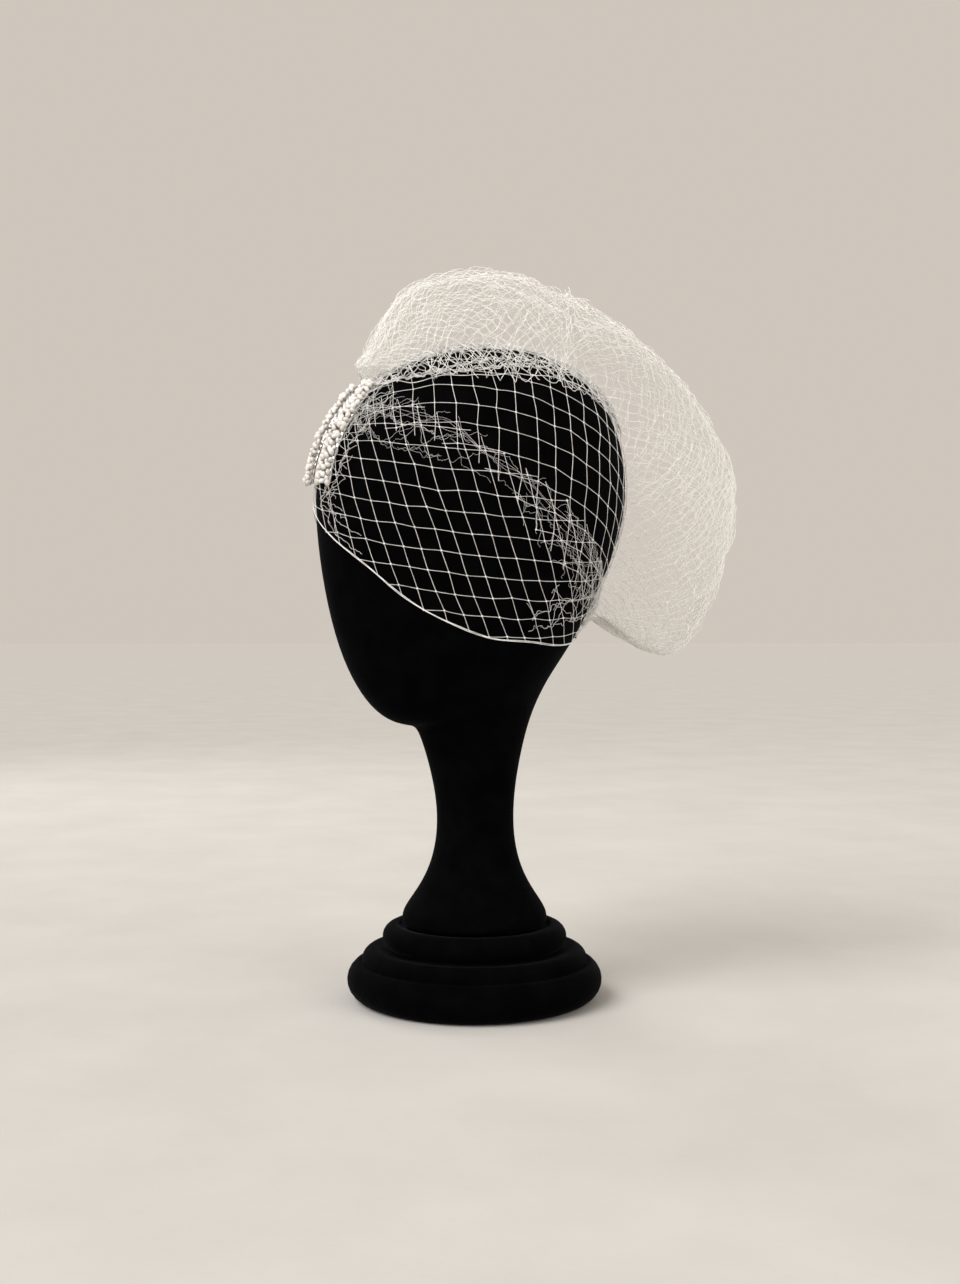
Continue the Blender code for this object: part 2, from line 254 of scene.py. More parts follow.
class ShaderGraph(NodeGraph):
    """A new material's node tree, round its Principled shader."""

    def __init__(self, name: str) -> None:
        """Start the material.

        Args:
            name: The material's name.
        """
        self.material = bpy.data.materials.new(name)
        self.material.use_nodes = True
        super().__init__(self.material.node_tree)
        self.shader = self.tree.nodes["Principled BSDF"]
        self.place = self.add("ShaderNodeTexCoord").outputs["Object"]

    def set(self, **values: object) -> None:
        """Set the shader's own inputs, by their names with _ for a space."""
        for name, value in values.items():
            self.shader.inputs[name.replace("_", " ")].default_value = value

    def noise(self, size: float, detail: float, roughness: float = 0.5) -> bpy.types.NodeSocket:
        """Add a noise over Object coordinates.

        Args:
            size: The size of its spots, in millimetres.
            detail: How many finer layers it has.
            roughness: How strong those are.

        Returns:
            The noise's number output.
        """
        node = self.add("ShaderNodeTexNoise", Scale=1.0 / (size * MM), Detail=detail, Roughness=roughness)
        self.join(self.place, node.inputs["Vector"])
        return node.outputs["Fac"]

    def ramp(
        self, source: bpy.types.NodeSocket, stops: Numbers, colours: tuple[Triple, ...]
    ) -> bpy.types.NodeSocket:
        """Triple a number.

        Args:
            source: The number's output.
            stops: The two places between which the colours blend.
            colours: The colours at those places.

        Returns:
            The ramp's colour output.
        """
        node = self.add("ShaderNodeValToRGB")
        for element, place, colour in zip(node.color_ramp.elements, stops, colours):
            element.position = place
            element.color = (*colour, 1.0)
        self.join(source, node.inputs["Fac"])
        return node.outputs["Color"]

    def bump(self, layers: list[tuple[bpy.types.NodeSocket, float]]) -> None:
        """Give the shader a bump made of layers.

        Args:
            layers: Each layer's height output and its depth in millimetres.
        """
        normal = None
        for height, depth in layers:
            node = self.add("ShaderNodeBump", Strength=1.0, Distance=depth * MM)
            self.join(height, node.inputs["Height"])
            if normal is not None:
                self.join(normal, node.inputs["Normal"])
            normal = node.outputs["Normal"]
        self.join(normal, self.shader.inputs["Normal"])


@dataclass(frozen=True)
class Finish:
    """A surface of two tones in soft spots, under a bump made of finer spots.

    spots gives the tones' size in millimetres, detail and roughness, blend the two places on the
    noise between which they blend, and each of bumps a size, a detail and a depth in millimetres.
    """

    dark: Triple
    light: Triple
    roughness: float
    spots: Numbers
    bumps: tuple[Triple, ...]
    blend: Numbers = (0.3, 0.6)
    metallic: float = 0.0
    specular: float = 0.5
    coat: float = 0.0
    coat_roughness: float = 0.03
    sheen: float = 0.0
    sheen_roughness: float = 0.5
    sheen_tint: Triple = (1.0, 1.0, 1.0)

    def material(self, name: str) -> bpy.types.Material:
        """Make the finish's material.

        Args:
            name: The material's name.

        Returns:
            The material.
        """
        graph = ShaderGraph(name)
        tone = graph.ramp(graph.noise(*self.spots), self.blend, (self.dark, self.light))
        graph.join(tone, graph.shader.inputs["Base Color"])
        graph.set(Roughness=self.roughness, Metallic=self.metallic, Specular_IOR_Level=self.specular)
        graph.set(Coat_Weight=self.coat, Coat_Roughness=self.coat_roughness, Sheen_Weight=self.sheen)
        graph.set(Sheen_Roughness=self.sheen_roughness, Sheen_Tint=(*self.sheen_tint, 1.0))
        graph.bump([(graph.noise(size, detail), depth) for size, detail, depth in self.bumps])
        return graph.material


@dataclass(frozen=True)
class VelvetFinish(Finish):
    """Black velvet: a short dense pile that swallows light and glows a little at its edges."""

    dark: Triple = (0.0004, 0.0004, 0.0006)
    light: Triple = (0.0012, 0.0012, 0.0016)
    roughness: float = 0.9
    spots: Numbers = (14.0, 3.0)
    bumps: tuple[Triple, ...] = ((14.0, 2.0, 0.3), (0.45, 1.0, 0.25))
    blend: Numbers = (0.35, 0.7)
    specular: float = 0.02
    sheen: float = 0.02
    sheen_roughness: float = 0.22
    sheen_tint: Triple = (0.62, 0.68, 0.80)


@dataclass(frozen=True)
class ThreadFinish(Finish):
    """Ivory nylon thread, hard spun and a little shiny."""

    dark: Triple = (0.52, 0.505, 0.48)
    light: Triple = (0.80, 0.79, 0.77)
    roughness: float = 0.42
    spots: Numbers = (5.0, 3.0)
    bumps: tuple[Triple, ...] = ((0.5, 1.0, 0.12),)
    sheen: float = 0.25
    sheen_roughness: float = 0.4


@dataclass(frozen=True)
class SheerPaintedBrightFinish(ThreadFinish):
    """The pouf's finer thread, painted paler than the net's thread as painted light, for the glow of light
    that shines through the sheer pouf from behind.
    """

    # painted light: these tones are paler than the net thread's, standing in for backlight through the pouf
    dark: Triple = (0.90, 0.88, 0.83)
    light: Triple = (0.97, 0.96, 0.92)
    sheen: float = 0.5


@dataclass(frozen=True)
class PearlFinish(Finish):
    """Small ivory pearls: a satin skin with a clear glaze and a faint blush."""

    dark: Triple = (0.56, 0.51, 0.47)
    light: Triple = (0.73, 0.71, 0.68)
    roughness: float = 0.28
    spots: Numbers = (5.0, 2.0)
    bumps: tuple[Triple, ...] = ((1.6, 2.0, 0.08),)
    blend: Numbers = (0.3, 0.58)
    coat: float = 0.35
    coat_roughness: float = 0.12
    sheen: float = 0.2


@dataclass(frozen=True)
class WireFinish(Finish):
    """Silver wire, lightly brushed."""

    dark: Triple = (0.525, 0.5175, 0.5025)
    light: Triple = (0.70, 0.69, 0.67)
    roughness: float = 0.3
    spots: Numbers = (1.5, 2.0)
    bumps: tuple[Triple, ...] = ((0.4, 1.0, 0.02),)
    metallic: float = 1.0


@dataclass(frozen=True)
class StoneFinish(Finish):
    """The pale, softly mottled ground of the studio."""

    dark: Triple = (0.485, 0.468, 0.443)
    light: Triple = (0.53, 0.514, 0.489)
    roughness: float = 0.85
    spots: Numbers = (120.0, 5.0, 0.6)
    bumps: tuple[Triple, ...] = ((6.0, 3.0, 0.15),)
    blend: Numbers = (0.3, 0.7)
    specular: float = 0.2


def link(thing: bpy.types.Object) -> bpy.types.Object:
    """Put an object into the scene, and return it."""
    bpy.context.scene.collection.objects.link(thing)
    return thing


def add_piece(name: str, mesh: bpy.types.Mesh, material: bpy.types.Material) -> bpy.types.Object:
    """Link a smooth mesh that rides on the stand.

    Args:
        name: The piece's name.
        mesh: Its mesh, with its place in its points.
        material: The material of all of it.

    Returns:
        The piece.
    """
    mesh.materials.clear()
    mesh.materials.append(material)
    mesh.shade_smooth()
    piece = link(bpy.data.objects.new(name, mesh))
    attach(piece, BODY)
    return piece


def stand_for(node: str) -> None:
    """Let a piece replace a solid, by hiding the solid."""
    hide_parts(node)


def mesh_from(bm: bmesh.types.BMesh, name: str) -> bpy.types.Mesh:
    """Turn a bmesh into a mesh, and free the bmesh.

    Args:
        bm: The bmesh.
        name: The mesh's name.

    Returns:
        The mesh.
    """
    mesh = bpy.data.meshes.new(name)
    bm.to_mesh(mesh)
    bm.free()
    return mesh


def tree_of(mesh: bpy.types.Mesh) -> BVHTree:
    """Read a mesh's faces into a tree that rays can be cast at.

    Args:
        mesh: The mesh, in metres.

    Returns:
        The tree, in millimetres.
    """
    bm = bmesh.new()
    bm.from_mesh(mesh)
    bmesh.ops.scale(bm, vec=Vector((1 / MM, 1 / MM, 1 / MM)), verts=bm.verts)
    tree = BVHTree.FromBMesh(bm)
    bm.free()
    return tree


@dataclass
class HeadForm:
    """The velvet head and neck, whose surface carries every net."""

    weld: float = 0.01
    flat_angle: float = 40.0
    square_angle: float = 60.0
    least_slope: float = 0.3
    finish: VelvetFinish = VelvetFinish()
    tree: Optional[BVHTree] = None

    def build(self) -> None:
        """Round the head's solid off, dress it in velvet and keep its surface for the nets."""
        bm = bmesh.new()
        bm.from_mesh(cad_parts["head_form"].data)
        bmesh.ops.remove_doubles(bm, verts=bm.verts, dist=self.weld * MM)
        bmesh.ops.join_triangles(
            bm,
            faces=bm.faces,
            angle_face_threshold=math.radians(self.flat_angle),
            angle_shape_threshold=math.radians(self.square_angle),
        )
        velvet = self.finish.material("black_velvet_head")
        piece = add_piece("velvet_head", mesh_from(bm, "velvet_head"), velvet)
        smooth = piece.modifiers.new("smooth", "SUBSURF")
        smooth.levels = 1
        smooth.render_levels = 1
        stand_for("head_form")
        depsgraph = bpy.context.evaluated_depsgraph_get()
        rounded = bpy.data.meshes.new_from_object(piece.evaluated_get(depsgraph))
        self.tree = tree_of(rounded)
        bpy.data.meshes.remove(rounded)

    def at(self, direction: Vector, lift: float) -> Vector:
        """Find a point above the head's surface.

        Args:
            direction: The way to it from the head's centre.
            lift: How far above the surface it lies.

        Returns:
            The point.
        """
        aim = direction.normalized()
        hit, normal, _, _ = self.tree.ray_cast(HEAD_CENTRE, aim)
        return hit + aim * (lift / max(aim.dot(normal), self.least_slope))

    def normal(self, point: Vector) -> Vector:
        """Return the head's outward normal under a point."""
        return self.tree.ray_cast(HEAD_CENTRE, (point - HEAD_CENTRE).normalized())[1]

    def settle(self, point: Vector, lift: float) -> Vector:
        """Return a point moved in or out until it lies lift above the head."""
        return self.at(point - HEAD_CENTRE, lift)


class HeadLine:
    """A line on the head, which can be read beside itself."""

    step: float = 0.01

    def __init__(self, head: HeadForm, line: tuple[Place, ...]) -> None:
        """Keep the directions of the line's places from the head's centre."""
        self.head = head
        self.directions = [place.direction() for place in line]

    def direction(self, share: float) -> Vector:
        """Return the direction of the line at a share of its length."""
        return curve_at(self.directions, share).normalized()

    def sideways(self, share: float) -> Vector:
        """Return the unit vector across the line, to the head's left where the line runs back."""
        ahead = self.direction(min(share + self.step, 1.0)) - self.direction(max(share - self.step, 0.0))
        return ahead.cross(self.direction(share)).normalized()

    def at(self, share: float, offset: float, lift: float) -> Vector:
        """Find a point beside the line.

        Args:
            share: The share of the line's length.
            offset: How far to the line's side the point lies.
            lift: How far above the head.

        Returns:
            The point.
        """
        aim = self.direction(share)
        reach = (self.head.at(aim, 0.0) - HEAD_CENTRE).length
        return self.head.at((aim + self.sideways(share) * (offset / reach)).normalized(), lift)


@dataclass(frozen=True)
class PhotoCamera:
    """The level camera at the photograph's angle, with its lens and sensor in millimetres."""

    azimuth: float = 65.0
    distance: float = 0.857
    height: float = 0.212
    aside: float = 0.0033
    lens: float = 40.07
    sensor: float = 36.0

    def back(self) -> Vector:
        """Return the level unit vector from the stand to the camera."""
        turn = math.radians(self.azimuth)
        return Vector((math.sin(turn), -math.cos(turn), 0.0))

    def right(self) -> Vector:
        """Return the unit vector to the picture's right."""
        turn = math.radians(self.azimuth)
        return Vector((math.cos(turn), math.sin(turn), 0.0))

    def build(self) -> None:
        """Make the camera and use it."""
        data = bpy.data.cameras.new("camera")
        data.lens = self.lens
        data.sensor_width = self.sensor
        camera = link(bpy.data.objects.new("camera", data))
        camera.location = self.back() * self.distance + self.right() * self.aside + UP * self.height
        camera.rotation_euler = (math.radians(90.0), 0.0, math.radians(self.azimuth))
        bpy.context.scene.camera = camera


@dataclass(frozen=True)
class Thread:
    """The thread that a net is tied from."""

    radius: float
    knot_radius: float = 0.0
    sides: int = 4

    def nodes(self, name: str) -> bpy.types.NodeTree:
        """Make the geometry nodes that sweep a thread along each edge and tie the knots.

        Args:
            name: The node group's name.

        Returns:
            The node group, which takes and gives one geometry.
        """
        graph = NodeGraph(bpy.data.node_groups.new(name, "GeometryNodeTree"))
        for way in ("INPUT", "OUTPUT"):
            graph.tree.interface.new_socket("Geometry", in_out=way, socket_type="NodeSocketGeometry")
        start, end = graph.add("NodeGroupInput"), graph.add("NodeGroupOutput")
        curve = graph.add("GeometryNodeMeshToCurve")
        circle = graph.add("GeometryNodeCurvePrimitiveCircle", Resolution=self.sides, Radius=self.radius * MM)
        sweep = graph.add("GeometryNodeCurveToMesh")
        both = graph.add("GeometryNodeJoinGeometry")
        links = [(start, curve, "Mesh"), (curve, sweep, "Curve"), (circle, sweep, "Profile Curve")]
        links.append((sweep, both, "Geometry"))
        if self.knot_radius:
            knot = graph.add("GeometryNodeMeshIcoSphere", Radius=self.knot_radius * MM, Subdivisions=1)
            tied = graph.add("GeometryNodeInputNamedAttribute", Name="knot")
            place = graph.add("GeometryNodeInstanceOnPoints")
            real = graph.add("GeometryNodeRealizeInstances")
            links += [(start, place, "Points"), (tied, place, "Selection"), (knot, place, "Instance")]
            links += [(place, real, "Geometry"), (real, both, "Geometry")]
        for source, target, socket in [*links, (both, end, "Geometry")]:
            graph.join(source.outputs[0], target.inputs[socket])
        return graph.tree

    def spin(self, name: str, wires: bpy.types.Mesh, finish: ThreadFinish) -> bpy.types.Object:
        """Turn a mesh of edges into a piece made of threads.

        Args:
            name: The piece's name.
            wires: The mesh of edges.
            finish: The thread's finish.

        Returns:
            The piece, with its threads as its own mesh.
        """
        draft = link(bpy.data.objects.new(f"{name}_draft", wires))
        draft.modifiers.new("threads", "NODES").node_group = self.nodes(f"{name}_threads")
        depsgraph = bpy.context.evaluated_depsgraph_get()
        mesh = bpy.data.meshes.new_from_object(draft.evaluated_get(depsgraph))
        bpy.data.objects.remove(draft)
        mesh.name = name
        return add_piece(name, mesh, finish.material(f"ivory_{name}"))


@dataclass
class Lattice:
    """A flat net of square meshes, made as a grid whose edges are its threads.

    length and width count its meshes, from knot to knot, once it has been tilted.
    """

    columns: int
    rows: int
    length: int = 1
    width: int = 1
    bm: bmesh.types.BMesh = field(default_factory=bmesh.new)

    def __post_init__(self) -> None:
        """Make the grid, with each knot marked, and drop its faces."""
        self.knot = self.bm.verts.layers.float.new("knot")
        bmesh.ops.create_grid(self.bm, x_segments=self.columns, y_segments=self.rows, size=0.5)
        bmesh.ops.delete(self.bm, geom=self.bm.faces[:], context="FACES_ONLY")
        for vert in self.bm.verts:
            vert[self.knot] = 1.0

    @classmethod
    def tilted(cls, length: int, width: int) -> "Lattice":
        """Make a net turned half a right angle, and trim it to a square from 0 to 1 both ways.

        Args:
            length: How many meshes, from knot to knot, it is long.
            width: How many it is wide.

        Returns:
            The net.
        """
        net = cls(length + width, length + width, length, width)
        turn = Matrix.Rotation(math.radians(45.0), 3, "Z")
        bmesh.ops.rotate(net.bm, cent=Vector(), matrix=turn, verts=net.bm.verts)
        reach = net.columns / math.sqrt(2)
        bmesh.ops.scale(net.bm, vec=Vector((reach / length, reach / width, 1.0)), verts=net.bm.verts)
        bmesh.ops.translate(net.bm, vec=Vector((0.5, 0.5, 0.0)), verts=net.bm.verts)
        for corner in (Vector(), Vector((1.0, 1.0, 0.0))):
            for way in (Vector((1.0, 0.0, 0.0)), Vector((0.0, 1.0, 0.0))):
                bmesh.ops.bisect_plane(
                    net.bm,
                    geom=net.bm.verts[:] + net.bm.edges[:],
                    dist=TRIM_SLACK,
                    plane_co=corner,
                    plane_no=way * (2 * corner.x - 1),
                    clear_outer=True,
                )
        return net

    def index(self, vert: bmesh.types.BMVert) -> tuple[int, int]:
        """Return the column and row of a vertex that hasn't been moved."""
        return round((vert.co.x + 0.5) * self.columns), round((vert.co.y + 0.5) * self.rows)

    def split_threads(self, cuts: int) -> None:
        """Cut every thread into shorter straight stretches, whose joints aren't knots.

        Args:
            cuts: How many joints each edge gets.
        """
        made = bmesh.ops.subdivide_edges(self.bm, edges=self.bm.edges[:], cuts=cuts)
        for item in made["geom_inner"]:
            if isinstance(item, bmesh.types.BMVert):
                item[self.knot] = 0.0

    def trim(self, covers: Callable[[Vector], bool], halvings: int = 7) -> None:
        """Cut the net off where it leaves its panel.

        Args:
            covers: Says whether a point lies on the panel.
            halvings: How closely each cut thread's end is found.
        """
        inside = {vert: covers(vert.co) for vert in self.bm.verts}
        for edge in self.bm.edges[:]:
            first, second = edge.verts
            if inside[first] == inside[second]:
                continue
            kept, lost = (first, second) if inside[first] else (second, first)
            low, high = 0.0, 1.0
            for _ in range(halvings):
                middle = (low + high) / 2
                if covers(kept.co.lerp(lost.co, middle)):
                    low = middle
                else:
                    high = middle
            end = bmesh.utils.edge_split(edge, kept, low)[1]
            end[self.knot] = 0.0
            inside[end] = True
        outside = [vert for vert, kept in inside.items() if not kept]
        bmesh.ops.delete(self.bm, geom=outside, context="VERTS")

    def shake(self, reach: float, seed: int) -> None:
        """Move each knot of the tilted net at random.

        Args:
            reach: The farthest move both ways, in meshes.
            seed: The seed of the random choice.
        """
        chance = random.Random(seed)
        for vert in self.bm.verts:
            along = vert.co.x + chance.uniform(-reach, reach) / self.length
            across = vert.co.y + chance.uniform(-reach, reach) / self.width
            vert.co = Vector((clamp(along), clamp(across), 0.0))

    def thread_of(self, edge: bmesh.types.BMEdge) -> tuple[int, int]:
        """Tell which thread of the tilted net an edge is part of.

        Args:
            edge: The edge.

        Returns:
            Which way the thread runs, and its number.
        """
        first, second = (vert.co.x * self.length for vert in edge.verts)
        one, other = (vert.co.y * self.width for vert in edge.verts)
        if abs(first + one - second - other) < abs(first - one - second + other):
            return 1, round((first + one + second + other) / 2)
        return -1, round((first - one + second - other) / 2)

    def thin(self, keep: Callable[[float, float], float], seed: int) -> None:
        """End some threads early, as where a net is drawn thin, so that the others run on whole.

        Args:
            keep: Gives the share of threads that stay at a share of the length and of the width.
            seed: The seed of the random choice.
        """
        chance = random.Random(seed)
        limits: dict[tuple[int, int], float] = {}
        lost = []
        for edge in self.bm.edges:
            middle = (edge.verts[0].co + edge.verts[1].co) / 2
            if limits.setdefault(self.thread_of(edge), chance.random()) > keep(middle.x, middle.y):
                lost.append(edge)
        bmesh.ops.delete(self.bm, geom=lost, context="EDGES")
        alone = [vert for vert in self.bm.verts if not vert.link_edges]
        bmesh.ops.delete(self.bm, geom=alone, context="VERTS")

    def mesh(self, name: str) -> bpy.types.Mesh:
        """Return the net's edges as a mesh in metres."""
        bmesh.ops.scale(self.bm, vec=Vector((MM, MM, MM)), verts=self.bm.verts)
        return mesh_from(self.bm, name)


def add_wires(bm: bmesh.types.BMesh, part: bpy.types.Mesh) -> None:
    """Add a mesh of edges to a bmesh, and remove the mesh."""
    bm.from_mesh(part)
    bpy.data.meshes.remove(part)


def add_strand(bm: bmesh.types.BMesh, cuts: int, place: Callable[[float], Vector]) -> None:
    """Add one loose thread to a bmesh of edges.

    Args:
        bm: The bmesh.
        cuts: How many joints the thread has between its ends.
        place: Gives its point at a share of its length.
    """
    strand = bmesh.new()
    ends = [strand.verts.new(Vector((share, 0.0, 0.0))) for share in (0.0, 1.0)]
    strand.edges.new(ends)
    bmesh.ops.subdivide_edges(strand, edges=strand.edges[:], cuts=cuts)
    for vert in strand.verts:
        vert.co = place(vert.co.x) * MM
    add_wires(bm, mesh_from(strand, "strand"))


@dataclass
class EdgeCord:
    """The thin cord that the net's cut edge is drawn up on, in two strands that cross loosely."""

    name: str
    slot: str
    line: tuple[Place, ...]
    lift: float = 1.6
    cuts: int = 150
    half_gap: float = 0.16
    half_rise: float = 0.3
    loose: Wander = Wander(16.0, 0.35)
    loose_reach: float = 80.0
    seeds: tuple[float, float] = (2.0, 11.0)
    thread: Thread = Thread(0.21, sides=6)
    finish: ThreadFinish = ThreadFinish()

    def build(self, head: HeadForm) -> bpy.types.Object:
        """Lay the strands along the edge.

        Args:
            head: The head.

        Returns:
            The cord.
        """
        line = HeadLine(head, self.line)
        bm = bmesh.new()
        for seed, half in zip(self.seeds, (-self.half_gap, self.half_gap)):

            def place(share: float, seed: float = seed, half: float = half) -> Vector:
                """Return the strand's point at a share of the edge."""
                loose = self.loose.at(line.direction(share) * self.loose_reach, seed)
                return line.at(share, half + loose.x, self.lift + self.half_rise * half)

            add_strand(bm, self.cuts, place)
        cord = self.thread.spin(self.name, mesh_from(bm, self.name), self.finish)
        return cord


@dataclass(kw_only=True)
class NetPiece:
    """A piece of ivory net.

    flat is the width and length in metres of the cut that shows, and area what its threads alone
    cover, in square metres. A piece with stands_in replaces its node, and another leaves the node
    as it is.
    """

    name: str
    node: str
    flat: tuple[float, float]
    area: float
    rests_on: tuple[str, ...]
    held: Held = Held.GATHERED
    stands_in: bool = True
    thread: Thread = Thread(0.105, 0.0, 5)
    finish: ThreadFinish = ThreadFinish()

    def wires(self, head: HeadForm) -> bpy.types.Mesh:
        """Return the middle lines of the threads, in metres, as each kind of net lays them."""
        raise NotImplementedError

    def build(self, head: HeadForm, cords: tuple[bpy.types.Object, ...] = ()) -> None:
        """Spin the piece's threads, hide its node if it stands in for it, and report it.

        Args:
            head: The head that it lies on.
            cords: The separate cords on its edge; not used.
        """
        piece = self.thread.spin(self.name, self.wires(head), self.finish)
        if self.stands_in:
            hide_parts(self.node)
        faces = piece.data.polygons
        spun = sum(face.area for face in faces)
        log.info("%s: %d faces, %.4f square metres of thread", piece.name, len(faces), spun)
        list(self.rests_on)
        list(cords)


@dataclass(kw_only=True)
class DrapedNet(NetPiece):
    """Face net drawn over the head: its meshes shear like real net, and its threads keep length.

    origin is its middle knot, headings the ways of the two threads there, in degrees up from
    level towards the back, and steps how many meshes they cross each way. It ends where the
    solids named in covers do, and also fills the field between the two corners of patch.
    """

    covers: tuple[str, ...]
    origin: Place
    headings: tuple[float, float]
    steps: int = 14
    patch: Optional[tuple[Place, Place]] = None
    cell: tuple[float, float] = (10.7, 12.4)
    lift: float = 1.5
    seam: float = 0.006
    tie_rounds: int = 5
    tie_strides: int = 3
    least_shear: float = 4.0
    cuts: int = 3
    drape: Wander = Wander(9.0, 1.2)
    slack: Wander = Wander(14.0, 0.5)
    slack_rise: float = 0.4
    seed: float = 3.0
    slack_seed: float = 5.0
    thread: Thread = Thread(0.15, 0.66, 6)
    rests_on: tuple[str, ...] = ("velvet_head",)
    held: Held = Held.STRETCHED

    def walk(self, head: HeadForm, heading: float, length: float) -> list[Vector]:
        """Follow one thread over the head from the net's origin.

        Args:
            head: The head.
            heading: The way it starts.
            length: Each mesh's length along it.

        Returns:
            The knots along it, without the origin.
        """
        point = head.at(self.origin.direction(), self.lift)
        normal = head.normal(point)
        back = UP.cross(normal).normalized()
        turn = math.radians(heading)
        way = back * math.cos(turn) + normal.cross(back) * math.sin(turn)
        knots = []
        for _ in range(self.steps):
            ahead = head.settle(point + way * length, self.lift)
            way = (ahead - point).normalized()
            point = head.settle(point + way * length, self.lift)
            normal = head.normal(point)
            way = (way - normal * way.dot(normal)).normalized()
            knots.append(point)
        return knots

    def tie(self, head: HeadForm, first: Vector, second: Vector, corner: Vector) -> Vector:
        """Find the knot one thread's length from two others.

        Args:
            head: The head.
            first: One of the two knots.
            second: The other.
            corner: The knot that closes the mesh opposite the new one.

        Returns:
            The new knot.
        """
        knot = first + second - corner
        for _ in range(self.tie_rounds):
            knot = head.settle(knot, self.lift)
            normal = head.normal(knot)
            one, two = knot - first, knot - second
            side = (one - normal * one.dot(normal)).normalized()
            other = normal.cross(side)
            a, b, c, d = one.dot(side), one.dot(other), two.dot(side), two.dot(other)
            det = a * d - b * c
            if abs(det) < self.least_shear:
                break
            short = (self.cell[0] ** 2 - one.length_squared) / 2
            slack = (self.cell[1] ** 2 - two.length_squared) / 2
            shift = side * ((short * d - slack * b) / det) + other * ((a * slack - c * short) / det)
            knot += shift * min(1.0, self.cell[0] / self.tie_strides / max(shift.length, MM))
        return head.settle(knot, self.lift)

    def knots(self, head: HeadForm) -> dict[tuple[int, int], Vector]:
        """Tie the whole net over the head, from its two middle threads outwards.

        Args:
            head: The head.

        Returns:
            Every knot, by its column and row from the origin.
        """
        found = {(0, 0): head.at(self.origin.direction(), self.lift)}
        for axis, heading in enumerate(self.headings):
            for way, turned in ((1, 0.0), (-1, 180.0)):
                for step, knot in enumerate(self.walk(head, heading + turned, self.cell[axis]), 1):
                    found[(0, way * step) if axis else (way * step, 0)] = knot
        for way_x in (1, -1):
            for way_y in (1, -1):
                for x in range(1, self.steps + 1):
                    for y in range(1, self.steps + 1):
                        beside = found[(way_x * (x - 1), way_y * y)]
                        below = found[(way_x * x, way_y * (y - 1))]
                        corner = found[(way_x * (x - 1), way_y * (y - 1))]
                        found[(way_x * x, way_y * y)] = self.tie(head, beside, below, corner)
        return found

    def on_panel(self, point: Vector, trees: list[BVHTree]) -> bool:
        """Say whether the net's panel has a point.

        Args:
            point: The point.
            trees: The surfaces of the solids that the net covers.

        Returns:
            Whether a ray to it from the head's centre meets one of them, or the patch.
        """
        aim = (point - HEAD_CENTRE).normalized()
        nudge = UP * self.seam
        if self.patch:
            turn = math.degrees(math.atan2(aim.x, -aim.y))
            rise = math.degrees(math.asin(aim.z))
            low, high = self.patch
            if low.turn < turn < high.turn and low.rise < rise < high.rise:
                return True
        return any(
            tree.ray_cast(HEAD_CENTRE, (aim + shift).normalized())[0] is not None
            for tree in trees
            for shift in (Vector(), nudge, -nudge)
        )

    def wires(self, head: HeadForm) -> bpy.types.Mesh:
        """Drape the net over the head, and trim it to its panel.

        Args:
            head: The head.

        Returns:
            The middle lines of its threads, in metres.
        """
        lattice = Lattice(2 * self.steps, 2 * self.steps)
        found = self.knots(head)
        trees = [tree_of(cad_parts[node].data) for node in self.covers]
        for vert in lattice.bm.verts:
            column, row = lattice.index(vert)
            vert.co = found[(column - self.steps, row - self.steps)]
        for vert in lattice.bm.verts:
            vert.co = head.settle(vert.co + self.drape.at(vert.co, self.seed), self.lift)
        lattice.trim(lambda point: self.on_panel(point, trees))
        lattice.split_threads(self.cuts)
        for vert in lattice.bm.verts:
            slack = self.slack.at(vert.co, self.seed + self.slack_seed)
            vert.co = head.settle(vert.co + slack, self.lift + self.slack_rise * slack.z)
        return lattice.mesh(self.name)


